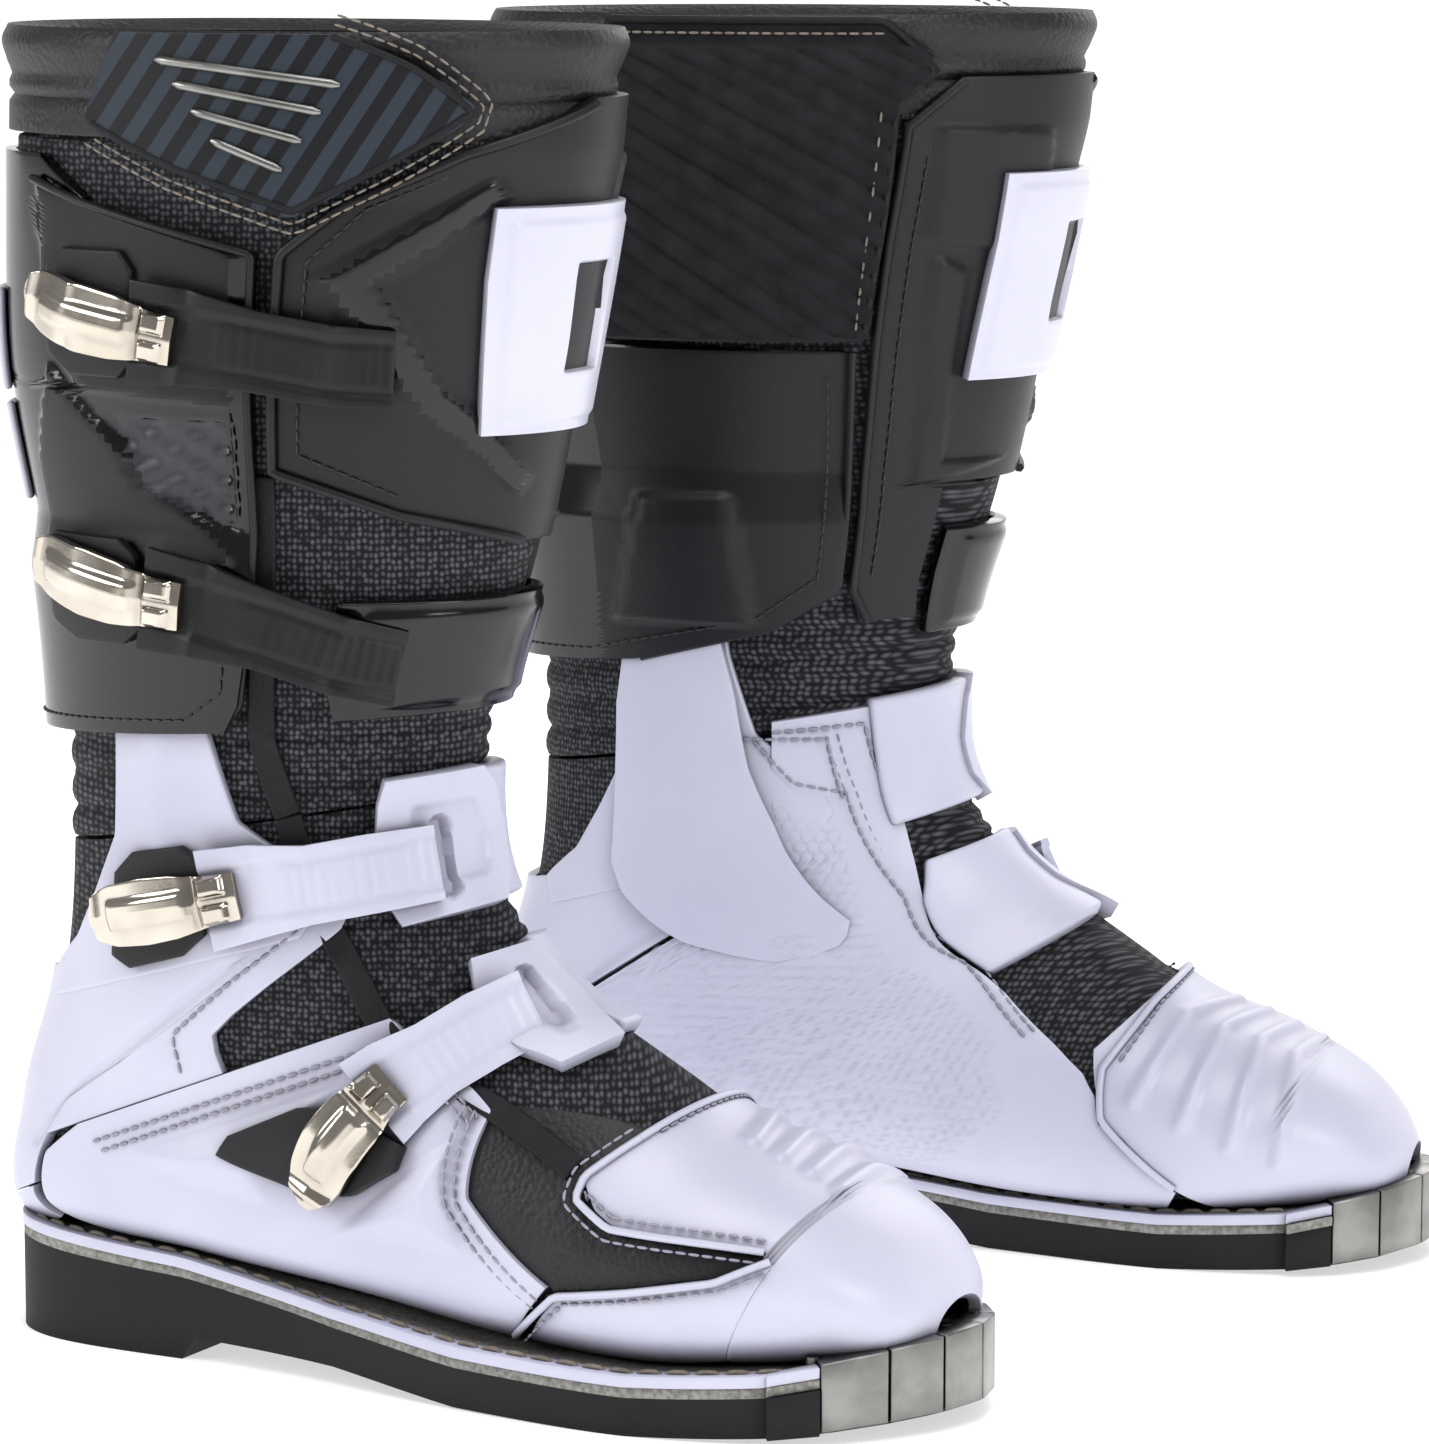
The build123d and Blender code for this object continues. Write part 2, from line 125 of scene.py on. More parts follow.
def finish(name, light, dark, rough, blotch, grain, depth, cells=False, stretch=(1, 1, 1), **shader):
    """A material: two colours in blotches, darkened by painted shade in its crevices, then a grain of
    rounded cells or of fine noise.
    """
    made = bpy.data.materials.new(name)
    made.use_nodes = True
    tree = made.node_tree
    skin_shader = tree.nodes["Principled BSDF"]
    for key, value in shader.items():
        skin_shader.inputs[key.replace("_", " ")].default_value = value
    place = add(tree, "TexCoord").outputs["Object"]
    pull = add(tree, "Mapping", {}, {"Vector": place})
    pull.inputs["Scale"].default_value = stretch
    cloud = add(tree, "TexNoise", {"Scale": 1000 / blotch, "Detail": 5.0}, {"Vector": place})
    shades = add(tree, "ValToRGB", {}, {"Fac": cloud.outputs["Fac"]})
    shades.color_ramp.elements[0].position = 0.35
    shades.color_ramp.elements[0].color = colour(dark)
    shades.color_ramp.elements[1].position = 0.65
    shades.color_ramp.elements[1].color = colour(light)
    wear = add(tree, "MapRange", {"To Min": rough - 0.05, "To Max": rough + 0.07},
               {"Value": cloud.outputs["Fac"]})
    if cells:
        pattern = add(tree, "TexVoronoi", {"Scale": 1000 / grain}, {"Vector": pull.outputs[0]})
        height = pattern.outputs["Distance"]
    else:
        pattern = add(tree, "TexNoise", {"Scale": 1000 / grain, "Detail": 3.0},
                      {"Vector": pull.outputs[0]})
        height = pattern.outputs["Fac"]
    bump = add(tree, "Bump", {"Distance": depth / 1000, "invert": cells}, {"Height": height})
    # Painted shade: ambient occlusion within 8 mm darkens the base colour in creases, hollows and where
    # parts meet, on every finish, the floor's paper too.
    painted_crevice_shade = add(tree, "AmbientOcclusion", {"Distance": 0.008, "samples": 4},
                  {"Color": shades.outputs["Color"]})
    tree.links.new(painted_crevice_shade.outputs["Color"], skin_shader.inputs["Base Color"])
    tree.links.new(wear.outputs["Result"], skin_shader.inputs["Roughness"])
    tree.links.new(bump.outputs["Normal"], skin_shader.inputs["Normal"])
    return made


# The whites are cool and even, the plate a shade smoother; a thin coat keeps their highlights soft.
WHITE = finish("TPU moulded white", "#d3d3e6", "#c9c9de", 0.36, 60, 0.5, 0.03,
               Coat_Weight=0.1, Coat_Roughness=0.3)
PLATE = finish("TPU moulded white plate", "#dadaea", "#d2d2e4", 0.28, 60, 0.5, 0.02)
# The blacks part by their sheen: the polished mould mirrors the soft boxes, the etched one spreads them.
GLOSS = finish("TPU moulded gloss black", "#0b0c0f", "#08090b", 0.13, 40, 0.7, 0.012)
MATTE = finish("TPU moulded matt black", "#1b1b1f", "#151519", 0.42, 30, 0.45, 0.06,
               Specular_IOR_Level=0.35)
# Pebbles 1.6 mm across catch the light one by one; the suede's nap takes it in and stays flat.
LEATHER = finish("Cowhide pebbled", "#232327", "#19191d", 0.46, 12, 1.6, 0.2, cells=True,
                 Specular_IOR_Level=0.4)
SUEDE = finish("Suede split", "#26262a", "#1a1a1e", 0.86, 8, 0.6, 0.2, Sheen_Weight=0.08,
               Specular_IOR_Level=0.2)
# Rubber and woven binding are dull, so the gloss beside them reads as plastic.
RUBBER = finish("Rubber vulcanised", "#17181a", "#101113", 0.6, 25, 0.6, 0.12,
                Specular_IOR_Level=0.3)
BINDING = finish("Nylon binding woven", "#1c1c20", "#141418", 0.6, 9, 0.8, 0.12, cells=True,
                 Specular_IOR_Level=0.3)
# Plating over a cast skin is bright and faintly uneven; the pressed steel is greyer and brushed.
NICKEL = finish("Zinc die cast nickel plated", "#d8d0c4", "#c4bbae", 0.14, 18, 2.5, 0.02, Metallic=1.0)
STEEL = finish("Steel pressed brushed", "#9b9b98", "#7e7e7b", 0.3, 14, 0.7, 0.03,
               stretch=(1, 1, 6), Metallic=1.0)
# Cut fibre edge of the welt, mottled at the size of its fibres, and the threads sewn through it all.
BOARD = finish("Leatherboard", "#a3a29e", "#76756f", 0.85, 1.4, 1.0, 0.12)
THREAD = finish("Polyester thread waxed", "#8d8478", "#736a5e", 0.55, 3, 0.5, 0.08)
GREY_THREAD = finish("Polyester thread pale grey", "#a9a9bb", "#9797aa", 0.6, 3, 0.5, 0.06)
BLACK_THREAD = finish("Polyester thread black", "#2c2c31", "#222226", 0.5, 3, 0.5, 0.06)
# Open foam under the foot, and the smooth film of the padded window.
FOAM = finish("Foam footbed", "#2f3035", "#242529", 0.9, 6, 0.8, 0.15)
PADDING = finish("Polyurethane film over foam", "#2c2f36", "#22252b", 0.4, 20, 0.7, 0.05)


def patterned(name, pattern, settings, low, high, low_at, high_at, rough, depth, turn=0.0):
    """A cloth whose woven pattern shows in its colour: two colours of a texture on its own map."""
    made = bpy.data.materials.new(name)
    made.use_nodes = True
    tree = made.node_tree
    cloth = tree.nodes["Principled BSDF"]
    cloth.inputs["Roughness"].default_value = rough
    cloth.inputs["Specular IOR Level"].default_value = 0.25
    pull = add(tree, "Mapping", {}, {"Vector": add(tree, "TexCoord").outputs["UV"]})
    pull.inputs["Rotation"].default_value = (0, 0, math.radians(turn))
    weave = add(tree, pattern, settings, {"Vector": pull.outputs[0]})
    shades = add(tree, "ValToRGB", {}, {"Fac": weave.outputs[0]})
    for element, code, at in zip(shades.color_ramp.elements, (low, high), (low_at, high_at)):
        element.position = at
        element.color = colour(code)
    bump = add(tree, "Bump", {"Distance": depth / 1000}, {"Height": shades.outputs["Color"]})
    tree.links.new(shades.outputs["Color"], cloth.inputs["Base Color"])
    tree.links.new(bump.outputs["Normal"], cloth.inputs["Normal"])
    return made


# Spacer mesh: pale knitted knots 1.7 mm apart over a dark ground.
KNIT = patterned("Polyester spacer mesh", "TexVoronoi", {"Scale": 1000 / 1.7, "Randomness": 0.35},
                 "#5c5d63", "#121316", 0.12, 0.5, 0.75, 0.4)
# Loom stripes 8 mm apart, one slate, one black.
WEBBING = patterned("Nylon twill striped", "TexWave", {"Scale": 1000 / 8 / 3.14, "Distortion": 0.0},
                    "#131417", "#2e3640", 0.48, 0.52, 0.5, 0.05, 38)


# ---- Skins: moulded, sewn and stuffed sheets on the form ---------------------------------------
# Plates, shells and fabrics are sheets laid on the form. Each starts as a flat grid, is pressed onto
# the form with its own relief, and is then given its thickness and rounded edges.
def gap_to(u, t, path):
    """How far, in millimetres, places on the form are from a line drawn on it."""
    stops = np.array(path, float)
    fine = np.concatenate([
        a + (b - a) * np.linspace(0, 1, 9)[:, None] for a, b in zip(stops, stops[1:])])
    line = form(fine[:, 0], fine[:, 1])
    here = form(u, t)
    best = np.full(len(here), 1e9)
    for start, way in zip(line[:-1], np.diff(line, axis=0)):
        f = np.clip((here - start) @ way / max(way @ way, 1e-9), 0, 1)
        best = np.minimum(best, np.linalg.norm(here - start - f[:, None] * way, axis=1))
    return best


def depth_in(u, t, outline):
    """How far inside an outline places are, negative outside it."""
    loop = list(outline) + [outline[0]]
    inside = np.zeros(len(u), bool)
    for (u0, t0), (u1, t1) in zip(loop, loop[1:]):
        crosses = (u0 > u) != (u1 > u)
        inside ^= crosses & (t < t0 + (u - u0) / ((u1 - u0) or 1e-9) * (t1 - t0))
    gap = gap_to(u, t, loop)
    return np.where(inside, gap, -gap)


def step(depth, width=1.6):
    x = np.clip(depth / width + 0.5, 0, 1)
    return x * x * (3 - 2 * x)


def ridge(gap, width):
    return np.exp(-(gap / width) ** 2)


def press(bm, placed, outward):
    """Moves a flat grid's vertices into place and turns its faces outward, told by its middle one."""
    for vertex, co in zip(bm.verts, placed):
        vertex.co = co
    bm.normal_update()
    bm.verts.ensure_lookup_table()
    bm.verts.index_update()
    middle = len(bm.verts) // 2
    if bm.verts[middle].normal.dot(Vector(outward[middle])) < 0:
        bmesh.ops.reverse_faces(bm, faces=bm.faces[:])


def settle(bm, name, side, finishes, body, stands_for, thick, edge):
    """Turns a mesh that is in place into a finished piece: thickness, edges and body."""
    mesh = bpy.data.meshes.new(f"{side}_{name}")
    bm.to_mesh(mesh)
    bm.free()
    piece = bpy.data.objects.new(f"{side}_{name}", mesh)
    bpy.context.scene.collection.objects.link(piece)
    for each in finishes:
        mesh.materials.append(each)
    mesh.shade_smooth()
    if thick:
        wall = piece.modifiers.new("wall", "SOLIDIFY")
        wall.thickness = thick / 1000
        wall.offset = -1
    if edge:
        soften = piece.modifiers.new("edge", "BEVEL")
        soften.width = edge / 1000
        soften.segments = 2
        soften.angle_limit = math.radians(50)
    if body:
        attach(piece, f"{side}_{body}")
    if stands_for:
        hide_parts(*[f"{side}_{node}" for node in stands_for])
    return piece


def skin(name, rows, low, high, main, body, slot, stands_for=(), relief=None, inlays=(), pitch=1.8,
         edge=0.7, fill=None):
    """A sheet on both boots: rows are (u, from t, to t), inlays are outlines with their own finish."""
    rows = np.array([tuple(row) + (low, high) if len(row) == 3 else row for row in rows], float)
    middle = rows[:, 1:3].mean(1)
    spine = form(np.linspace(rows[0, 0], rows[-1, 0], 60),
                 np.interp(np.linspace(rows[0, 0], rows[-1, 0], 60), rows[:, 0], middle))
    long = np.linalg.norm(np.diff(spine, axis=0), axis=1).sum()
    girth = max(math.radians(b - a) * 50 for a, b in rows[:, 1:3])
    made = {}
    for side in STAND:
        bm = bmesh.new()
        bmesh.ops.create_grid(bm, x_segments=max(6, int(girth / pitch)),
                              y_segments=max(6, int(long * 1.25 / pitch)), size=0.5)
        flat = np.array([v.co for v in bm.verts])
        u = rows[0, 0] + (flat[:, 1] + 0.5) * (rows[-1, 0] - rows[0, 0])
        start, end, proud = [np.interp(u, rows[:, 0], rows[:, i]) for i in (1, 2, 4)]
        t = start + (flat[:, 0] + 0.5) * (end - start)
        extra = relief(u, t) if relief else 0.0
        local = form(u, t, proud + extra)
        placed = stand(local, side)
        press(bm, placed, stand(form(u, t, proud + extra + 1), side) - placed)
        for index, (outline, _) in enumerate(inlays):
            inside = depth_in(u, t, outline) > 0
            for face in bm.faces:
                if all(inside[v.index] for v in face.verts):
                    face.material_index = index + 1
        chart = bm.loops.layers.uv.new("side view")
        for face in bm.faces:
            for loop in face.loops:
                x, y, z = local[loop.vert.index] / 1000
                loop[chart].uv = (x + y * 0.6, z)
        bmesh.ops.remove_doubles(bm, verts=bm.verts[:], dist=1e-5)
        made[side] = settle(bm, name, side, [main] + [f for _, f in inlays], body, stands_for,
                            float((rows[:, 4] - rows[:, 3]).max()), edge)
    return made


def run(path, d, inset=0.0, pitch=2.0):
    """Points along a line on the form at a pitch, moved sideways by inset."""
    stops = np.array(path, float)
    fine = np.concatenate([
        a + (b - a) * np.linspace(0, 1, 30, endpoint=False)[:, None]
        for a, b in zip(stops, stops[1:])] + [stops[-1:]])
    line = form(fine[:, 0], fine[:, 1], d)
    out = form(fine[:, 0], fine[:, 1], d + 1.0) - line
    sideways = np.cross(out, np.gradient(line, axis=0))
    sideways /= np.maximum(np.linalg.norm(sideways, axis=1), 1e-9)[:, None]
    line = line + sideways * inset
    travel = np.concatenate([[0], np.cumsum(np.linalg.norm(np.diff(line, axis=0), axis=1))])
    marks = np.arange(0, travel[-1], pitch)
    return np.stack([np.interp(marks, travel, line[:, i]) for i in range(3)], -1)


def stitched(path, d, inset=0.0, pitch=3.4):
    """A row of stitches along a line: each is a short run of thread that dips at its ends."""
    points = run(path, d, inset, pitch / 5)
    return [points[i:i + 5] for i in range(0, len(points) - 5, 5)]


def lay(name, runs, radius, main, body, dip=1.0):
    """Thread or piping on both boots, round in section, its ends thinned by dip."""
    for side in STAND:
        line = bpy.data.curves.new(f"{side}_{name}", "CURVE")
        line.dimensions = "3D"
        line.bevel_depth = radius / 1000
        line.bevel_resolution = 1
        line.use_fill_caps = True
        for points in runs:
            spline = line.splines.new("POLY")
            spline.points.add(len(points) - 1)
            for i, (point, co) in enumerate(zip(spline.points, stand(points, side))):
                point.co = (*co, 1)
                point.radius = dip if i in (0, len(points) - 1) else 1.0
        line.materials.append(main)
        piece = bpy.data.objects.new(f"{side}_{name}", line)
        bpy.context.scene.collection.objects.link(piece)
        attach(piece, f"{side}_{body}")


# ---- Soft upper --------------------------------------------------------------------------------
# Spacer mesh over foam, sewn in rolls where the ankle bends, with a padded cowhide collar at the top.
ROLLS = 4.2  # sewn rolls between one cross-section and the next
BELLOWS_TOP, BELLOWS_END = 3.62, 4.97


def collar_rolls(u, t):
    roll = 2.2 * ridge(u - 0.17, 0.15)
    return roll - 1.4 * ridge(u - 0.40, 0.022) - 1.4 * ridge(u - 0.54, 0.022)


def ankle_rolls(u, t):
    return 1.7 * np.abs(np.sin(np.pi * u * ROLLS)) ** 0.7 - 0.8


def instep_pleats(u, t):
    front = step(62 - np.abs(t), 20) * np.clip((8.0 - u) / 1.0, 0, 1)
    return front * (1.5 * np.abs(np.sin(np.pi * u * ROLLS)) ** 0.7 - 0.5)


skin("padded_collar", [(0, -180, 180), (0.75, -180, 180)], -4, 2.4, LEATHER, "shaft",
     "collar_leather", ["collar"], collar_rolls, edge=2.4, fill=0.7)
skin("shaft_mesh", [(0.78, -180, 180), (3.6, -180, 180)], -3, 0, KNIT, "shaft", "mesh_fabric",
     ["shaft_lining"], pitch=4.5, fill=0.5)


def bend_at_ankle(pieces):
    """Bakes each boot's piece's place into its mesh; the piece stays on no body."""
    for side, piece in pieces.items():
        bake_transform(piece)


bend_at_ankle(skin(
    "ankle_bellows_rolls", [(BELLOWS_TOP, -180, 180), (BELLOWS_END, -180, 180)], -3, 0, KNIT, None,
    "mesh_fabric", ["ankle_bellows"], ankle_rolls, fill=0.5))
skin("foot_mesh", [(5.0, -179.5, 179.5), (7.8, -179.5, 179.5), (8.1, -146, 146), (8.5, -139, 139),
                   (9.5, -138, 138), (11, -138, 138), (12.5, -132, 132), (13.5, -125, 125)],
     -3, 0, KNIT, "foot", "mesh_fabric", ["vamp"], instep_pleats, fill=0.5)

# ---- Calf shell --------------------------------------------------------------------------------
# The big gloss TPU shell round the calf, injection moulded, with matt raised blades and a padded
# window behind the buckle.
HIGH, LOW = (0.6, 3.3), (4.6, 7.2)
BLADES = [
    [(1.02, 128), (1.36, 79), (2.16, 78), (2.1, 114), (1.76, 124)],
    [(1.98, 124), (2.95, 80), (3.36, 84), (3.3, 136), (2.5, 134)],
]
WINDOW = [(2.24, 108), (2.23, 79), (2.86, 79), (2.76, 90), (2.62, 101)]
BLOCK = [(3.03, 251), (3.01, 272), (3.96, 280), (3.9, 245)]
MEDIAL = [(2.1, 238), (2.1, 303), (3.75, 304), (4.26, 286), (4.26, 238)]


def calf_relief(u, t):
    height = sum(1.3 * step(depth_in(u, t, blade)) for blade in BLADES)
    height = height + 2.2 * step(depth_in(u, t, BLOCK), 2.4)
    window = step(depth_in(u, t, WINDOW))
    dimples = np.cos(u * 40 * 2 * np.pi / 6.5) * np.cos(np.radians(t) * 50 * 2 * np.pi / 9.5)
    return height - window * (1.4 + 0.8 * dimples) + 0.8 * ridge(gap_to(u, t, [
        (3.0, 170), (3.2, 186), (4.1, 186)]), 3)


skin("moulded_calf_shell", [
    (0.86, 128, 236, *HIGH), (1.12, 112, 240, *HIGH), (1.36, 76, 240, *HIGH), (2.08, 75, 240, *HIGH),
    (2.12, 75, 297, *HIGH), (2.86, 75, 298, *HIGH), (3.2, 75, 299, *LOW), (3.7, 76, 300, *LOW),
    (4.0, 77, 284, *LOW), (4.2, 80, 250, *LOW)], 0, 0, GLOSS, "shaft", "black_tpu", ["calf_shell"],
    calf_relief, [(b, MATTE) for b in BLADES] + [(WINDOW, PADDING), (MEDIAL, MATTE)], pitch=1.7)
lay("calf_piping", [
    run([(1.0, 128), (1.12, 112), (1.36, 76), (2.86, 75), (4.0, 77), (4.2, 82)], 5.0),
    run([(2.12, 297), (2.86, 298), (3.7, 300), (4.0, 284), (4.2, 250)], 6.0)],
    1.1, MATTE, "shaft")
lay("calf_stitches",
    stitched([(1.0, 124), (1.2, 108), (1.4, 80), (2.8, 79)], 3.6)
    + stitched([(3.2, 80), (3.9, 81), (4.1, 90), (4.12, 236), (3.92, 280), (3.6, 294), (2.2, 292)],
               7.5),
    0.38, BLACK_THREAD, "shaft", 0.5)

# ---- Shin plate --------------------------------------------------------------------------------
# TPU shin plate with pressed chevrons, bordered by a sewn piping, and a white plate screwed over it.
CHEVRONS = [
    [(0.95, 31), (1.48, 64), (2.2, 41), (2.65, 13), (2.55, 8), (2.05, 36), (1.5, 52), (1.05, 27)],
    [(0.83, -50), (0.86, -20), (1.6, -13), (1.5, -50)],
    [(1.58, -47), (1.66, -40), (2.8, -38), (2.8, -13), (2.95, -45)],
]
VENTS = [[(1.42, -9), (1.42, 7), (1.98, 6), (1.98, -10)]]
INSERT = [(1.12, -34, 31), (1.5, -34, 31), (2.3, -36, 28)]


def shin_relief(u, t):
    return sum(1.4 * step(depth_in(u, t, each)) for each in CHEVRONS)


def insert_relief(u, t):
    bars = sum(2.2 * step(depth_in(u, t, vent), 1.0) for vent in VENTS)
    return 0.8 * step(depth_in(u, t, [(1.2, -30), (1.2, 27), (2.24, 24), (2.24, -32)]), 2) - bars


skin("moulded_shin_plate", [
    (0.52, -46, 4, 2.9, 5.2), (0.82, -57, 38, 2.9, 5.2), (1.1, -58, 60, 0.8, 4.0),
    (1.36, -58, 71, 0.8, 4.0), (2.5, -58, 71, 0.8, 4.0), (2.74, -58, 44, 0.8, 4.0),
    (2.93, -58, 6, 0.8, 4.0), (2.97, -58, -36, 0.8, 4.0), (3.7, -56, -36, 0.8, 4.0),
    (3.98, -52, -34, 0.8, 4.0)], 0, 0, MATTE, "shaft", "black_tpu", ["shin_plate"], shin_relief,
    [(CHEVRONS[0], GLOSS)], pitch=1.7)
lay("shin_piping", [
    run([(0.56, 4), (0.82, 38), (1.1, 60), (1.36, 71), (2.5, 71), (2.74, 44), (2.93, 6)], 4.8),
    run([(0.54, -46), (0.82, -57), (1.5, -58), (2.9, -58), (3.7, -56), (3.98, -50)], 4.8)],
    1.4, MATTE, "shaft")
lay("shin_stitches",
    stitched([(0.9, 38), (1.12, 56), (1.4, 66), (2.4, 66), (2.66, 42)], 4.4)
    + stitched([(0.62, -42), (0.86, -52), (1.5, -53), (2.9, -53), (3.7, -51)], 4.4),
    0.38, BLACK_THREAD, "shaft", 0.5)
skin("white_shin_insert", INSERT, 4.2, 7.4, PLATE, "shaft", "white_tpu", ["white_inserts"],
     insert_relief, [(vent, MATTE) for vent in VENTS], pitch=0.8, edge=1.0)
for number, rows in (
    (1, [(1.62, 150, 208), (2.18, 152, 206)]),
    (2, [(2.25, 152, 206), (2.82, 156, 200)]),
):
    skin(f"white_calf_insert_{number}", rows, 3.6, 6.0, PLATE, "shaft", "white_tpu", edge=1.0)
skin("moulded_shin_band", [(3.28, -32, 56), (3.6, -32, 59), (4.15, -30, 54)], 2.0, 5.4, GLOSS,
     "shaft", "black_tpu", ["shin_band"], lambda u, t: 1.4 * step(
         depth_in(u, t, [(3.36, -26), (3.36, 50), (4.06, 48), (4.06, -24)]), 2), edge=0.9)

# ---- Closure flap ------------------------------------------------------------------------------
# Woven flap that laps round the top of the shaft, striped on the loom, bound and double stitched.
FLAP = [(0.03, 63, 103), (0.3, 49, 106), (0.58, 36, 109), (0.66, 40, 110), (0.9, 54, 92),
        (1.16, 68, 73)]
FLAP_EDGE = [(0.05, 64), (0.3, 50), (0.58, 38), (0.7, 44), (0.9, 55), (1.13, 69), (0.9, 91),
             (0.66, 109)]
skin("striped_flap", FLAP, 5.6, 7.4, WEBBING, "shaft", "flap_fabric", ["closure_flap"], edge=0.6)
lay("flap_binding", [run(FLAP_EDGE, 7.2)], 1.0, BINDING, "shaft")
lay("flap_stitches", stitched(FLAP_EDGE, 7.6, 3.0) + stitched(FLAP_EDGE, 7.6, 5.4), 0.35, THREAD,
    "shaft", 0.5)
SLANTED = [[(0.42 + k * 0.16, 62 + k * 3), (0.26 + k * 0.16, 96 - k * 4)] for k in range(4)]
lay("flap_bars", [run(line, 7.5) for line in SLANTED], 1.3, STEEL, "shaft", 0.5)

# ---- Heat guard --------------------------------------------------------------------------------
# Suede patch on the inner side, against the engine, quilted in slanting ribs and edged with piping.
def guard_ribs(u, t):
    across = u * 38 - np.radians(t) * 38
    return 1.5 * np.abs(np.sin(np.pi * across / 5.6)) ** 0.6 * step(u - 0.3, 0.05)


skin("suede_guard", [(0.05, 243, 297), (0.48, 241, 308), (0.7, 241, 300), (1.4, 242, 300),
                     (2.04, 244, 300)], 3.8, 5.4, SUEDE, "shaft", "suede", ["heat_guard"], guard_ribs,
     pitch=1.25, edge=0.8)
GUARD_EDGE = [(2.04, 245), (2.04, 299), (1.4, 300), (0.7, 300), (0.48, 307), (0.07, 296), (0.07, 244)]
lay("guard_piping", [run(GUARD_EDGE, 5.4)], 1.2, BINDING, "shaft")
lay("guard_stitches", stitched([(0.2, 245), (0.2, 298)], 6.3) + stitched(
    [(2.0, 297), (1.4, 297), (0.7, 297)], 6.4), 0.4, THREAD, "shaft", 0.5)

# ---- Heel and side armour ----------------------------------------------------------------------
# White TPU shells moulded in one piece with their stitched rims: the heel counter with a strut up each
# side, the outer side panel with two pyramids, and the inner panel pressed in small hexagons.
def heel_relief(u, t):
    side_t = np.where(t > 180, 360 - t, t)
    rib = ridge(gap_to(u, side_t, [(4.2, 100), (5.0, 100), (5.9, 92)]), 5)
    return 1.3 * rib - 0.9 * ridge(gap_to(u, side_t, [(6.3, 80), (7.14, 124), (7.4, 134)]), 1.6)


STRUT = (0.9, 3.5)
FLANK = [(3.45, 90, 110), (4.2, 86, 114), (4.96, 78, 115), (5.38, 64, 123), (5.73, 60, 131),
         (5.94, 58, 144), (6.2, 64, 138)]
CUP = [(5.95, 58, 302), (6.04, 58, 302), (6.34, 76, 284), (6.8, 100, 260), (7.14, 124, 236),
       (7.34, 130, 230), (7.8, 136, 224)]


def mirrored(rows):
    return [(u, 360 - end, 360 - start) for u, start, end in rows]


skin("heel_cup", CUP, *STRUT, WHITE, "foot", "white_tpu", ["heel_shell"], heel_relief, edge=0.9)
skin("heel_strut_outer", FLANK, 0.9, 3.8, WHITE, "foot", "white_tpu", [], heel_relief, edge=0.9)
skin("heel_strut_inner", mirrored(FLANK), 0.9, 3.8, WHITE, "foot", "white_tpu", [], heel_relief,
     edge=0.9)
CORNER = [(7.82, 137, 170), (7.88, 138, 162), (8.1, 139, 145), (8.2, 139, 142)]
for word, rows in (("outer", CORNER), ("inner", mirrored(CORNER))):
    skin(f"heel_corner_{word}", rows, *STRUT, WHITE, "foot", "white_tpu")

skin("ankle_surround", [(5.98, 50, 58), (6.21, 54, 71), (6.34, 60, 77), (6.6, 73, 90), (6.8, 82, 101),
                        (6.95, 87, 110), (7.14, 87, 125), (7.39, 86, 131)], 0.6, 3.2, WHITE, "foot",
     "white_tpu", edge=0.9)
PYRAMIDS = [[(7.85, 108), (8.05, 66), (8.95, 110)], [(9.5, 114), (9.3, 66), (10.4, 105)]]


def side_relief(u, t):
    return sum(np.clip(depth_in(u, t, each) * 0.34, 0, 2.6) for each in PYRAMIDS)


skin("side_armour", [(7.4, 51, 120), (7.55, 50, 130), (8.0, 50, 135), (8.6, 51, 137), (9.24, 56, 137),
                     (9.97, 84, 137), (11.0, 104, 137)], 0.6, 3.6, WHITE, "foot", "white_tpu",
     ["side_panel"], side_relief, pitch=1.5, edge=0.9)
SIDE_EDGE = [(11.0, 106), (9.97, 84), (9.24, 57), (8.6, 52), (7.55, 51), (7.5, 118)]


def hexagons(u, t, cell=3.4):
    """How far inside its six-sided cell each place is, 0 on the lines between cells."""
    x, _, z = np.moveaxis(form(u, t), -1, 0)
    tall = cell * math.sqrt(3)
    best = np.full(len(x), -1e9)
    for ox, oz in ((0, 0), (cell / 2, tall / 2)):
        dx = (x + ox + cell / 2) % cell - cell / 2
        dz = (z + oz + tall / 2) % tall - tall / 2
        far = np.maximum(np.abs(dx), np.abs(dx) / 2 + np.abs(dz) * math.sqrt(3) / 2)
        best = np.maximum(best, cell / 2 - far)
    return best


TEXTURED = [(6.1, 228), (5.63, 286), (6.19, 303), (8.6, 299), (9.7, 288), (10.4, 262), (10.4, 228)]
PATCH = [(4.91, 278), (5.06, 302), (5.83, 306), (5.56, 291)]


def medial_relief(u, t):
    strut = 1.8 * ridge(gap_to(u, t, [(5.0, 262), (6.5, 262), (7.4, 288)]), 7)
    cells = 0.28 * step(hexagons(u, t) - 0.25, 0.4)
    return (cells * step(depth_in(u, t, TEXTURED), 2) + strut * 0.6
            + 0.7 * step(depth_in(u, t, PATCH)))


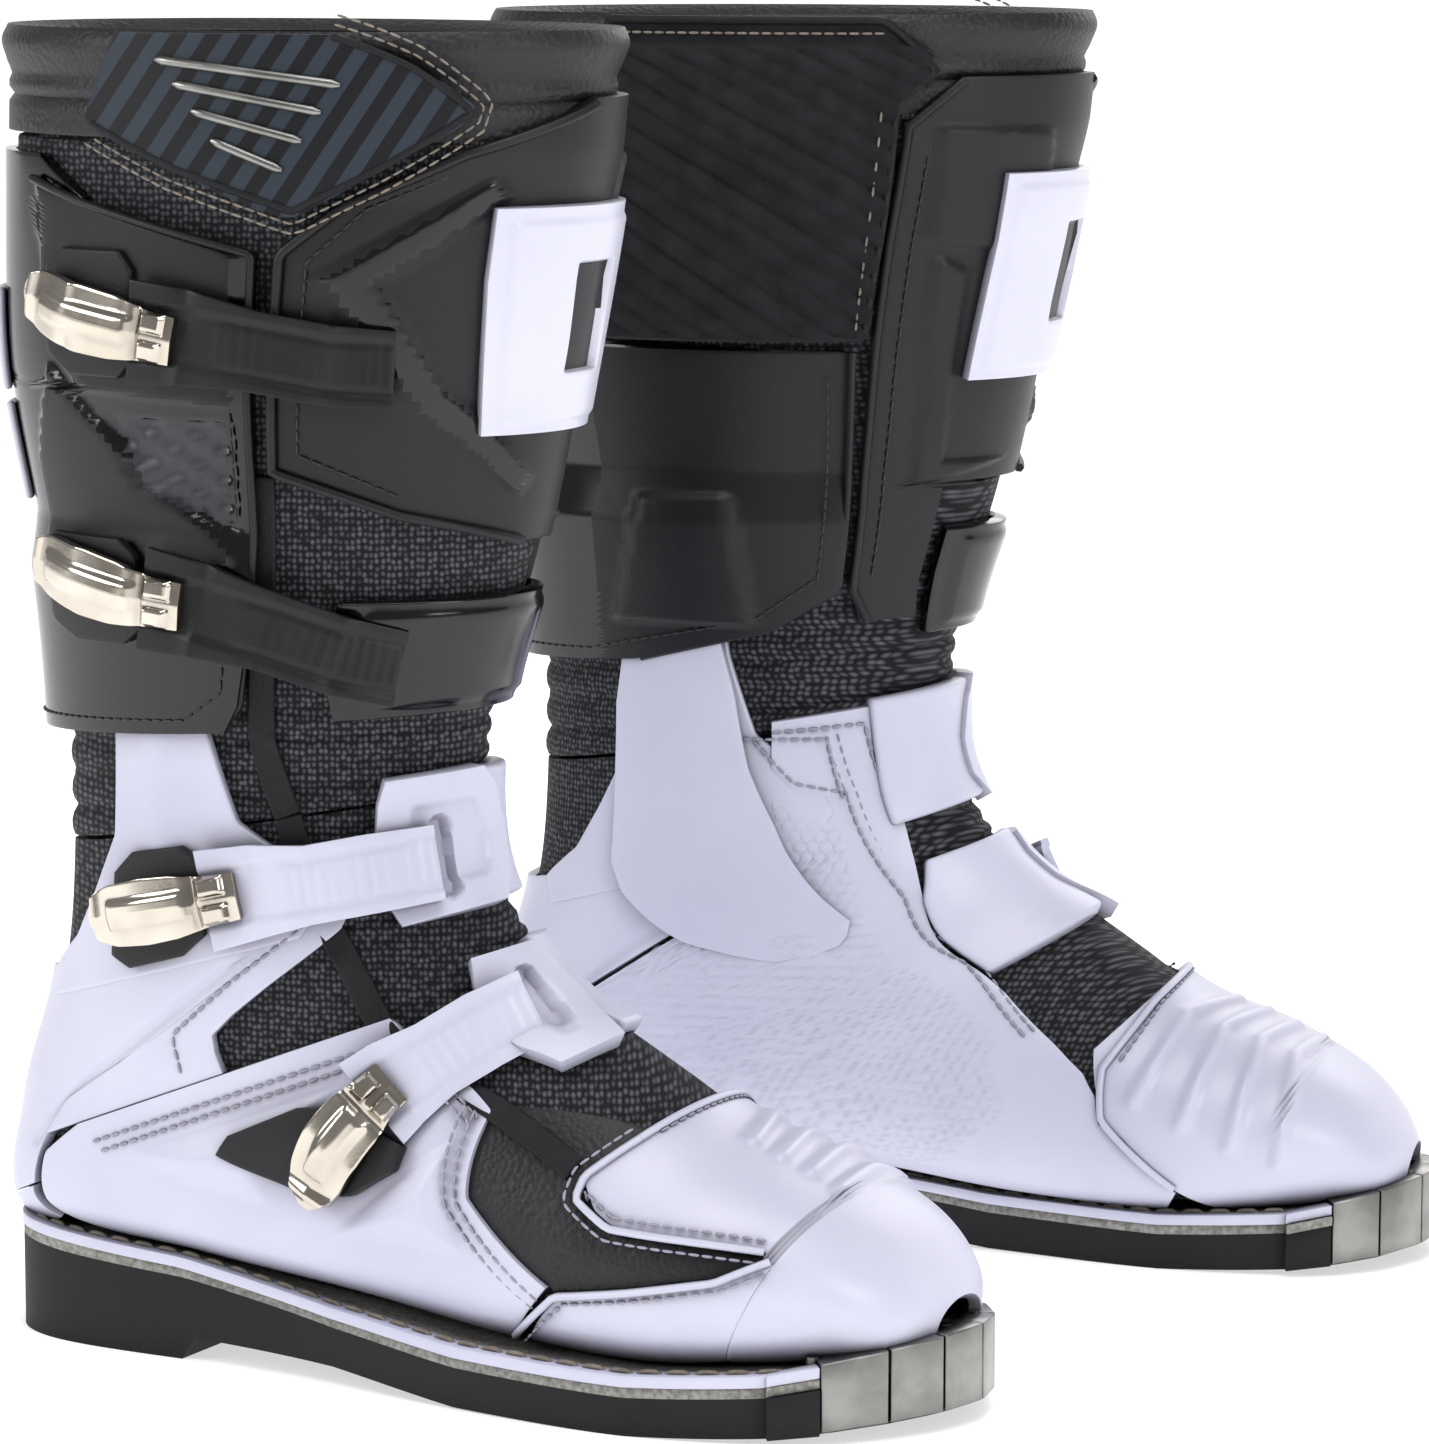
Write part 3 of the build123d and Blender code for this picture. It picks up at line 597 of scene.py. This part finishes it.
skin("medial_armour", [
    (4.85, 286, 314), (5.38, 286, 318), (6.04, 286, 321), (6.4, 286, 320), (6.8, 264, 318),
    (7.14, 240, 316), (7.34, 233, 315), (8.0, 226, 311), (8.6, 222, 307), (9.3, 222, 302),
    (10.2, 222, 293), (10.6, 222, 288), (10.85, 223, 281), (11.05, 224, 269.5), (11.3, 225, 265.5),
    (12.0, 228, 241)], 0.6, 3.6, WHITE, "foot", "white_tpu",
    ["medial_panel"], medial_relief, pitch=1.05, edge=0.9)
skin("inner_strut", [(3.96, 247, 271), (4.53, 244, 276), (5.26, 244, 280), (5.91, 244, 286),
                     (6.21, 248, 288), (6.9, 264, 294), (7.31, 276, 298), (7.51, 282, 296),
                     (7.59, 290, 294)], 3.6, 6.2, WHITE, "foot", "white_tpu", [],
     lambda u, t: -1.6 * step(u - 7.0, 0.8), edge=1.6)
skin("medial_arm_upper", [(4.78, 313, 364), (5.5, 315, 365), (6.3, 316, 364)], 0.6, 5.4, WHITE,
     "foot", "white_tpu", edge=1.2)
skin("medial_arm_lower", [(6.85, 320, 363), (7.4, 314, 365), (8.3, 310, 365), (8.9, 306, 362)],
     0.6, 5.4, WHITE, "foot", "white_tpu", edge=1.2)
MEDIAL_EDGE = [(5.08, -59), (5.83, -54), (7.26, -49), (8.59, -53), (10.02, -70)]
lay("armour_stitches",
    stitched(SIDE_EDGE, 3.9, 3.0) + stitched(SIDE_EDGE, 3.9, 6.0)
    + stitched([(4.95, 286), (5.02, 312), (6.0, 318)], 3.9) + stitched(PATCH + PATCH[:1], 4.5, 1.5)
    + stitched([(6.15, 60), (6.55, 80), (6.9, 94), (7.3, 93)], 3.5, -2.5)
    + stitched(MEDIAL_EDGE, 3.9) + stitched(MEDIAL_EDGE, 3.9, -3.0),
    0.42, GREY_THREAD, "foot", 0.5)

# ---- Forefoot and toe cap ----------------------------------------------------------------------
# A grained cowhide insert at the flex of the forefoot and a white TPU toe cap with four ridges.
skin("forefoot_insert", [(9.3, 52, 62), (9.97, 40, 84), (10.5, 30, 96), (11.1, 30, 106),
                         (11.6, 30, 96), (12.4, 30, 74)], 0.2, 2.0, LEATHER, "foot", "mesh_fabric",
     edge=0.6)
RIDGES = [
    [(11.29, 8), (10.94, -28), (11.14, -74)], [(11.67, 9), (11.39, -26), (11.66, -79)],
    [(12.05, 9), (11.84, -24), (12.2, -85)], [(12.4, 10), (12.27, -23), (12.72, -91)],
]


def toe_relief(u, t):
    return sum(1.9 * ridge(gap_to(u, t, line), 2.2) for line in RIDGES)


skin("toe_cap_shell", [
    (10.5, -62, 58), (10.85, -78, 66), (11.05, -90, 68), (11.3, -94, 68), (12.0, -118, 60),
    (12.42, -130, 56), (12.55, -130, 128), (13.0, -128, 128), (13.5, -124, 124), (14, -118, 118),
    (14.5, -112, 112), (14.9, -105, 105)], 0.6, 3.6, WHITE, "foot", "white_tpu", ["toe_cap"],
    toe_relief, pitch=1.4, edge=0.9)
skin("toe_cap_lip", [(11.1, 106, 136), (11.6, 94, 134), (12.2, 78, 131), (12.55, 60, 128)], 0.6, 3.6,
     WHITE, "foot", "white_tpu", edge=0.9)
CAP_EDGE = [(10.54, 37), (10.52, 58), (10.64, 66), (11.07, 70), (11.87, 62), (12.45, 56)]
lay("toe_piping", [
    run(CAP_EDGE, 4.0),
    run([(12.5, 60), (12.2, 78), (11.6, 94), (11.1, 106), (11.0, 134)], 4.0),
    run([(10.54, 37), (10.56, -32), (10.7, -67), (11.04, -88), (12.0, -117)], 4.0)],
    1.1, WHITE, "foot")
LIP_EDGE = [(12.45, 62), (12.2, 76), (11.6, 92), (11.1, 104), (11.0, 133)]
lay("toe_stitches",
    stitched(CAP_EDGE, 4.0, 3.0) + stitched(CAP_EDGE, 4.0, -3.0) + stitched(LIP_EDGE, 4.0, 3.0)
    + stitched([(10.6, 30), (10.62, -30), (10.78, -64)], 4.0),
    0.4, GREY_THREAD, "foot", 0.5)

# ---- Instep keepers ----------------------------------------------------------------------------
# White frames on the instep through which the two foot straps pass, each with a slot in its middle.
for number, rows, slot_line in (
    (3, [(4.75, 6, 40), (5.0, -2, 42), (5.5, -8, 43), (6.0, -6, 42), (6.35, 4, 40)],
     [(5.31, 23), (6.04, 23)]),
    (4, [(6.95, 5, 28), (7.3, 0, 31), (7.9, 0, 34), (8.5, 6, 36), (9.1, 10, 34)],
     [(7.41, 16), (8.36, 19)]),
):
    outline = [(u, a) for u, a, b in rows] + [(u, b) for u, a, b in reversed(rows)]

    def frame_relief(u, t, outline=outline, slot_line=slot_line):
        inner = depth_in(u, t, outline)
        return 1.4 * step(5 - np.abs(inner - 3), 2) - 3.0 * step(2.4 - gap_to(u, t, slot_line), 1.0)

    skin(f"keeper_frame_{number}", rows, 0.6, 5.4, WHITE, "foot", "white_tpu",
         ["instep_keepers"] if number == 3 else [], frame_relief, pitch=1.1, edge=1.2)

# ---- Straps and buckles ------------------------------------------------------------------------
# Ribbed TPU straps that end in nickel-plated die-cast levers, hinged on black receivers.
STRAPS = {
    1: [(1.93, 48, 7.6), (1.91, 60, 7.9), (1.84, 74, 8.0), (1.78, 87, 8.2), (1.76, 97, 8.6)],
    2: [(3.74, 40, 8.6), (3.62, 55, 10.2), (3.45, 70, 10.6), (3.32, 85, 10.6), (3.26, 97, 10.8)],
    3: [(5.72, 27, 8.4), (5.68, 45, 8.2), (5.66, 60, 7.6), (5.62, 73, 7.8), (5.62, 84, 8.2)],
    4: [(7.95, 24, 8.8), (8.05, 38, 8.6), (8.20, 50, 8.4), (8.33, 60, 8.2), (8.45, 67, 8.2)],
}
LEVERS = {
    1: [(1.80, 88, 10.8), (1.75, 97, 12.0), (1.69, 109, 12.4), (1.58, 122, 9.8)],
    2: [(3.30, 88, 13.0), (3.25, 100, 14.2), (3.17, 113, 14.2), (3.06, 128, 12.0)],
    3: [(5.62, 76, 10.4), (5.62, 88, 11.6), (5.61, 100, 11.8), (5.60, 115, 9.4)],
    4: [(8.28, 60, 10.6), (8.50, 70, 11.6), (8.78, 84, 12.0), (9.15, 102, 9.4)],
}


def bar(name, stops, widths, thick, main, body, stands_for=(), relief=None, pitch=1.0,
        edge=0.6, tip=0.0):
    """A strip along places (u, t, d): widths are spread along it, and tip rounds off its far end."""
    stops = np.array(stops, float)
    keys = np.linspace(0, 1, len(stops))
    fine = np.linspace(0, 1, 60)
    route = np.stack([np.interp(fine, keys, stops[:, i]) for i in range(3)], -1)
    line = form(route[:, 0], route[:, 1], route[:, 2])
    for _ in range(12):
        line[1:-1] = (line[:-2] + 2 * line[1:-1] + line[2:]) / 4
    out = form(route[:, 0], route[:, 1], route[:, 2] + 1) - line
    ahead = np.gradient(line, axis=0)
    across = np.cross(out, ahead)
    across /= np.linalg.norm(across, axis=1)[:, None]
    out = np.cross(ahead, across)
    out /= np.linalg.norm(out, axis=1)[:, None]
    long = np.linalg.norm(np.diff(line, axis=0), axis=1).sum()
    made = {}
    for side in STAND:
        bm = bmesh.new()
        bmesh.ops.create_grid(bm, x_segments=max(8, int(max(widths) / pitch)),
                              y_segments=int(long / pitch), size=0.5)
        flat = np.array([v.co for v in bm.verts])
        b = flat[:, 1] + 0.5
        width = np.interp(b, np.linspace(0, 1, len(widths)), widths)
        if tip:
            past = np.clip(b * long - long + tip, 0, None) / tip
            width = width * np.sqrt(np.clip(1 - past ** 2, 0.06, 1))
        x = flat[:, 0] * width
        place, side_way, up = [
            np.stack([np.interp(b, fine, v[:, i]) for i in range(3)], -1) for v in (line, across, out)]
        rise = thick / 2 + (relief(x, b * long, long) if relief else 0.0)
        local = place + side_way * x[:, None] + up * np.broadcast_to(rise, b.shape)[:, None]
        placed = stand(local, side)
        press(bm, placed, stand(local + up, side) - placed)
        made[side] = settle(bm, name, side, [main], body, stands_for, thick, edge)
    return made


TOOTH_PITCH = 3.2


def strap_relief(x, s, long):
    rails = 0.7 * step(np.abs(x) - 7.0, 1.2)
    teeth = 0.45 * np.abs(np.sin(np.pi * s / TOOTH_PITCH)) * step(5.2 - np.abs(x), 1.2)
    return rails + teeth * step(0.62 * long - s, 2)


def lever_relief(x, s, long):
    panel = 1.1 * step(3.6 - np.abs(x), 1.2) * step(s - 15, 2) * step(long - 8 - s, 2)
    catches = 1.6 * step(2.2 - np.abs(np.abs(x) - 3.6), 0.8) * step(3.5 - np.abs(s - 7), 1.2)
    thumb = 1.3 * ridge(s - (long - 3.2), 1.5)
    return panel + catches + thumb - 0.9 * ridge(s - 12.5, 1.0) - 0.10 * np.abs(x)


RECEIVERS = {
    1: ("shaft", [(1.36, 102, 116), (1.46, 99, 121), (1.9, 98, 121), (2.02, 102, 114)], 3.7, 6.6),
    2: ("shaft", [(2.92, 104, 124), (3.02, 100, 129), (3.46, 99, 128), (3.58, 104, 118)], 7.4, 10.0),
    3: ("foot", [(5.1, 92, 106), (5.25, 86, 112), (5.95, 86, 112), (6.1, 92, 106)], 3.9, 6.4),
    4: ("foot", [(8.1, 76, 90), (8.25, 72, 96), (9.1, 76, 101), (9.3, 84, 96)], 4.0, 7.4),
}
for n, (body, rows, low, high) in RECEIVERS.items():
    node = {1: ["cuff_buckle_bases"], 3: ["instep_buckle_bases"]}.get(n, [])
    skin(f"buckle_receiver_{n}", rows, low, high, MATTE, body, "black_tpu", node, pitch=1.4, edge=1.4)

for n in STRAPS:
    shade, slot = (MATTE, "black_tpu") if n < 3 else (WHITE, "white_tpu")
    bar(f"ribbed_strap_{n}", STRAPS[n], (19, 20, 20, 24, 26), 2.6, shade, f"strap_{n}_body",
        [f"strap_{n}"], strap_relief)
    bar(f"cast_lever_{n}", LEVERS[n], (12, 13, 16, 17, 16, 14), 3.2, NICKEL, f"lever_{n}_body",
        [f"buckle_lever_{n}"], lever_relief, pitch=0.7, edge=0.8, tip=9)

# ---- Tongue binding ----------------------------------------------------------------------------
# A woven binding down the edge of the mesh tongue, in three pieces; the one across the ankle is on no
# body.
for word, stops, body in (
    ("shaft", [(2.53, 74, 1.2), (3.26, 74, 1.4), (3.6, 73, 1.4)], "shaft"),
    ("ankle", [(3.6, 73, 1.8), (4.28, 72, 1.8), (4.97, 65, 1.8)], None),
    ("foot", [(4.97, 65, 1.8), (5.8, 59, 1.8), (6.59, 54, 2.2), (8.0, 53, 2.2), (9.29, 55, 2.4),
              (10.4, 58, 2.4)], "foot"),
):
    strips = bar(f"tongue_binding_{word}", stops, (7, 7), 1.6, BINDING, body)
    if body is None:
        bend_at_ankle(strips)

# ---- Sole --------------------------------------------------------------------------------------
# Vulcanised rubber outsole under a stitched leatherboard welt, with a folded steel toe plate.
for side in STAND:
    for node, main in (("outsole", RUBBER), ("welt", BOARD), ("toe_screws", STEEL), ("footbed", FOAM)):
        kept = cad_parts[f"{side}_{node}"]
        kept.data.materials.clear()
        kept.data.materials.append(main)

SOLE = [(0, -8, 8), (4, -20, 20), (14, -28, 28), (35, -33, 33), (70, -34, 31), (105, -37, 29),
        (140, -44, 33), (170, -48, 40), (195, -49, 45), (220, -45, 46), (238, -38, 44)]
WELT_TOP = [(-5, 31), (62, 27), (66, 26.5), (110, 20), (150, 16), (200, 15), (235, 17), (280, 25.4)]
rim = np.array([(x, y) for x, y, _ in reversed(SOLE)] + [(x, y) for x, _, y in SOLE], float)
for _ in range(3):
    cut = np.stack([0.75 * rim[:-1] + 0.25 * rim[1:], 0.25 * rim[:-1] + 0.75 * rim[1:]], 1)
    rim = np.concatenate([rim[:1], cut.reshape(-1, 2), rim[-1:]])
SOLE_MIDDLE = np.array([110, 0])
WELT_STITCH = 7.5


def inward_from(line):
    """The flat way in, towards the middle of the sole, at each point of a line round its edge."""
    ahead = np.gradient(line, axis=0)
    way = np.stack([ahead[:, 1], -ahead[:, 0]], -1)
    way /= np.linalg.norm(way, axis=1)[:, None]
    return way * np.sign(((SOLE_MIDDLE - line) * way).sum(1))[:, None]


def on_welt(inset, lift, pitch):
    """Points round the welt's top, inset from its edge, at a pitch."""
    flat = rim + inward_from(rim) * inset
    travel = np.concatenate([[0], np.cumsum(np.linalg.norm(np.diff(flat, axis=0), axis=1))])
    marks = np.arange(0, travel[-1], pitch)
    x, y = [np.interp(marks, travel, flat[:, i]) for i in (0, 1)]
    z = np.interp(x, *np.array(WELT_TOP).T) + lift
    return np.stack([x, y, z], -1)


points = on_welt(1.9, 0.75, WELT_STITCH / 6)
points[:, 2] -= np.tile([0.7, 0.1, 0, 0, 0.1, 0.7], len(points) // 6 + 1)[:len(points)]
lay("welt_stitches", [points[i:i + 6] for i in range(0, len(points) - 6, 6)], 0.85, THREAD, "foot",
    0.6)


def edging(name, profile, ways, main, thick, stands_for=(), edge=0.4):
    """Strips round the sole's edge: profile is (inset, height over the ground line) at each fold."""
    for side in STAND:
        bm = bmesh.new()
        for start, inward, foot_of in ways:
            strip = bmesh.ops.create_grid(bm, x_segments=len(start) - 1, y_segments=len(profile) - 1,
                                          size=0.5)["verts"]
            for vertex in strip:
                i = round((vertex.co.x + 0.5) * (len(start) - 1))
                inset, high = profile[round((vertex.co.y + 0.5) * (len(profile) - 1))]
                flat = start[i] + inward[i] * inset
                vertex.co = stand([flat[0], flat[1], high(foot_of[i])], side)
        bmesh.ops.recalc_face_normals(bm, faces=bm.faces[:])
        settle(bm, name, side, [main], "foot", stands_for, thick, edge)


def welt_top(x):
    return float(np.interp(x, *np.array(WELT_TOP).T))


def sole_under(x):
    return float(np.interp(x, (-5, 62, 66, 110, 150, 200, 235, 280), (0, 0, 6, 4.5, 0.5, 0, 1.5, 5.6)))


edge_line = on_welt(-1.3, 0, 2.5)[:, :2]
edging("welt_rim", [(0, lambda x: welt_top(x) - 2.6), (0, lambda x: welt_top(x) + 0.3),
                    (5.5, lambda x: welt_top(x) + 0.5)],
       [(edge_line, inward_from(edge_line), edge_line[:, 0])], WHITE, 0.6)

# Toe plate: pressed steel folded round the toe in six flats, each with a tab turned in over the welt
# and a lip turned under the sole. Past its two ends the rubber, board and rim show their own edges.
TOE_WRAP = np.array([(236, -41.5), (247.5, -35), (260, -21.5), (268.5, -8), (272.4, 6), (269.5, 19),
                     (260, 34), (248, 43), (236, 47.5)], float)


def flats(first, last, slit):
    """The toe's flats between two corners, each as its ends with the way in and its place ahead."""
    ways = []
    for a, b in zip(TOE_WRAP[first:last], TOE_WRAP[first + 1:last + 1]):
        way = (b - a) / np.linalg.norm(b - a)
        ends = np.array([a + way * slit, b - way * slit])
        side_way = np.array([-way[1], way[0]])
        ways.append((ends, np.array([side_way + way * 0.12, side_way - way * 0.12]), ends[:, 0]))
    return ways


edging("pressed_toe_plate", [(5, lambda x: sole_under(x) + 0.5), (0, lambda x: sole_under(x) + 0.5),
                             (0, lambda x: welt_top(x) + 1.0), (7, lambda x: welt_top(x) + 1.4)],
       flats(1, 7, 0.35), STEEL, 1.2, ["toe_plate"])
for word, main, low, high in (
    ("rubber", RUBBER, sole_under, lambda x: welt_top(x) - 5.0),
    ("board", BOARD, lambda x: welt_top(x) - 5.0, lambda x: welt_top(x) - 2.4),
    ("rim", WHITE, lambda x: welt_top(x) - 2.4, lambda x: welt_top(x) + 0.4),
):
    profile = [(0.3, low), (0.3, high)] + ([(5, high)] if word == "rim" else [])
    edging(f"toe_corner_{word}", profile, flats(0, 1, 0.0) + flats(7, 8, 0.0), main,
           1.2)

# ---- Studio ------------------------------------------------------------------------------------
# A white paper sweep that glows a little, under four soft boxes: overhead, left, right and behind.
COVE_FROM, COVE_RADIUS = 2.0, 1.5
bm = bmesh.new()
bmesh.ops.create_grid(bm, x_segments=2, y_segments=80, size=6)
for vertex in bm.verts:
    past = vertex.co.y - COVE_FROM
    if past > 0:
        bend = min(past / COVE_RADIUS, math.pi / 2)
        vertex.co.y = COVE_FROM + COVE_RADIUS * math.sin(bend)
        vertex.co.z = COVE_RADIUS * (1 - math.cos(bend)) + max(past - COVE_RADIUS * math.pi / 2, 0)
floor_mesh = bpy.data.meshes.new("studio_floor")
bm.to_mesh(floor_mesh)
bm.free()
floor_mesh.shade_smooth()
floor = bpy.data.objects.new("studio_floor", floor_mesh)
bpy.context.scene.collection.objects.link(floor)
floor_mesh.materials.append(finish("Paper matt white", "#fbfbfb", "#f8f8f8", 0.9, 300, 2, 0.01,
                                   Emission_Color=colour("#ffffff"), Emission_Strength=0.62))

world = bpy.data.worlds.new("studio")
bpy.context.scene.world = world
world.use_nodes = True
world.node_tree.nodes["Background"].inputs["Color"].default_value = colour("#ffffff")
world.node_tree.nodes["Background"].inputs["Strength"].default_value = 0.26
AIM = Vector((0.03, -0.05, 0.15))
for name, spot, size, power in (
    ("overhead", (0.2, -0.4, 1.5), 1.0, 11), ("left_box", (-1.3, -1.0, 0.8), 0.7, 9),
    ("right_strip", (1.3, -0.7, 0.7), 0.5, 6), ("behind", (0.1, 1.4, 1.0), 1.0, 5),
):
    lamp = bpy.data.lights.new(name, "AREA")
    lamp.size = size
    lamp.energy = power
    box = bpy.data.objects.new(name, lamp)
    box.location = spot
    box.rotation_euler = (AIM - Vector(spot)).to_track_quat("-Z", "Y").to_euler()
    bpy.context.scene.collection.objects.link(box)

lens = bpy.data.cameras.new("camera")
lens.lens = 150.4
camera = bpy.data.objects.new("camera", lens)
camera.location = (0.5719, -1.4971, 0.3861)
look = Vector((0.0359, -0.1075, 0.1716)) - camera.location
camera.rotation_euler = look.to_track_quat("-Z", "Y").to_euler()
bpy.context.scene.collection.objects.link(camera)
bpy.context.scene.camera = camera
bpy.context.scene.view_settings.view_transform = "Standard"
